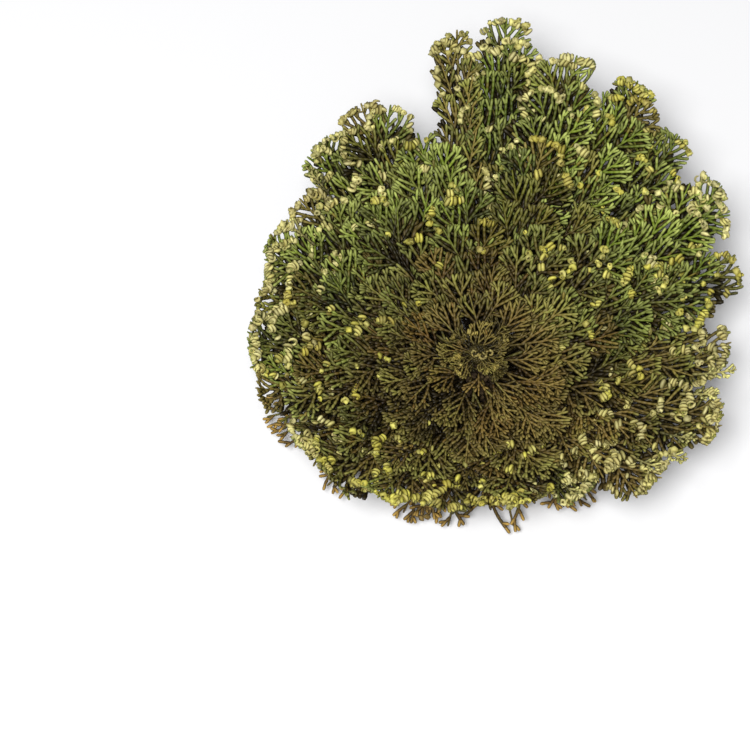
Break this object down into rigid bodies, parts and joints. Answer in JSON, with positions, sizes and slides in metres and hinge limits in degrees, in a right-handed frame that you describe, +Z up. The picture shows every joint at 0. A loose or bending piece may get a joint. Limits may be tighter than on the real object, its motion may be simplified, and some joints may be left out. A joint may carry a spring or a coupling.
{
  "type": "rose of jericho",
  "caption": "Resurrection spikemoss opened out as a shallow green rosette of overlapping forked fronds with pale curled tips, on a short woody crown and a flat root tuft.",
  "frame": {"origin": "middle of the flat foot of the root tuft, on the surface the plant lies on, under the crown", "axes": "+Z up through the crown; +Y towards the side on which the rosette has grown furthest out; +X to the right of that"},
  "size_m": [0.1634, 0.1727, 0.052],
  "materials": {
    "root_felt": "matt dark brown felted roots",
    "crown_wood": "matt brown scaly wood",
    "dead_frond": "dry brown scale leaves",
    "young_frond": "waxy olive yellow scale leaves",
    "green_frond": "waxy dark green scale leaves",
    "rim_frond": "waxy green scale leaves, cream where rolled over"
  },
  "bodies": {
    "root": {"root_tuft": "root_felt", "crown": "crown_wood", "skirt": "dead_frond", "heart": "young_frond", "rim_frond_01": "rim_frond", "rim_frond_02": "rim_frond", "rim_frond_03": "rim_frond", "rim_frond_04": "rim_frond", "rim_frond_05": "rim_frond", "rim_frond_06": "rim_frond", "rim_frond_07": "rim_frond", "rim_frond_08": "rim_frond", "rim_frond_09": "rim_frond", "rim_frond_10": "rim_frond", "rim_frond_11": "rim_frond", "rim_frond_12": "rim_frond", "rim_frond_13": "rim_frond", "rim_frond_14": "rim_frond", "rim_frond_15": "rim_frond", "rim_frond_16": "rim_frond", "rim_frond_17": "rim_frond", "rim_frond_18": "rim_frond", "rim_frond_19": "rim_frond", "rim_frond_20": "rim_frond", "rim_frond_21": "rim_frond", "rim_frond_22": "rim_frond", "rim_frond_23": "rim_frond", "rim_frond_24": "rim_frond", "frond_01": "green_frond", "frond_02": "green_frond", "frond_03": "green_frond", "frond_04": "green_frond", "frond_05": "green_frond", "frond_06": "green_frond", "frond_07": "green_frond", "frond_08": "green_frond", "frond_09": "green_frond", "frond_10": "green_frond", "frond_11": "green_frond", "frond_12": "green_frond", "frond_13": "green_frond", "frond_14": "green_frond", "frond_15": "green_frond", "frond_16": "green_frond", "frond_17": "green_frond", "frond_18": "green_frond", "frond_19": "green_frond", "frond_20": "green_frond", "frond_21": "green_frond", "frond_22": "green_frond", "frond_23": "green_frond", "frond_24": "green_frond", "frond_25": "green_frond", "frond_26": "green_frond", "frond_27": "green_frond", "frond_28": "green_frond", "frond_29": "green_frond", "frond_30": "green_frond", "frond_31": "green_frond", "frond_32": "green_frond"}
  },
  "joints": []
}
